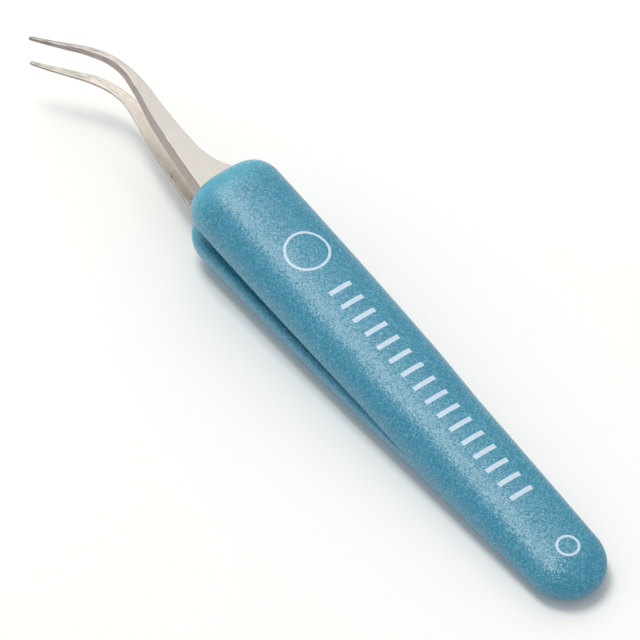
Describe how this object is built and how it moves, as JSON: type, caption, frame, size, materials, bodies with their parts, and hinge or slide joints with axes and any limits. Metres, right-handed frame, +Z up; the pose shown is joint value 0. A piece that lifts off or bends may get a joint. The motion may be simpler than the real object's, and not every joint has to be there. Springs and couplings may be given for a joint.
{
  "type": "curved-tip tweezers",
  "caption": "Curved-tip precision tweezers: sprung stainless blades in thick cushioned grips that squeeze together to close the tips.",
  "frame": {"origin": "on the flat land of the lower grip, 60 mm from the tail end, where the tweezers lie on a surface", "axes": "+X from the tail towards the tips, tips curve towards +Y, +Z up out of the surface; the mid-plane between the blades is tipped 3.81 degrees up towards the tips because the grips thicken that way"},
  "size_m": [0.1199, 0.0142, 0.0156],
  "materials": {
    "satin_steel": "satin, fine ground grain",
    "flake_vinyl": "soft satin moulding with fine metal flake"
  },
  "bodies": {
    "tail": {"tail_boot": "flake_vinyl", "tail_spacer": "satin_steel", "weld_nugget_front": "satin_steel", "weld_nugget_rear": "satin_steel"},
    "upper_arm": {"upper_blade": "satin_steel", "upper_grip": "flake_vinyl"},
    "lower_arm": {"lower_blade": "satin_steel", "lower_grip": "flake_vinyl"}
  },
  "joints": [
    {"name": "upper_flex", "type": "hinge", "parent": "tail", "child": "upper_arm", "pos_m": [-0.02737, 0, 0.00469], "axis": [0, 1, 0], "range_deg": [0, 1.67], "stiffness_Nm_per_rad": 3},
    {"name": "lower_flex", "type": "hinge", "parent": "tail", "child": "lower_arm", "pos_m": [-0.02737, 0, 0.00469], "axis": [0, 1, 0], "range_deg": [-1.67, 0], "stiffness_Nm_per_rad": 3}
  ],
  "couplings": [
    {"joint": "lower_flex", "follows": "upper_flex", "ratio": -1}
  ]
}
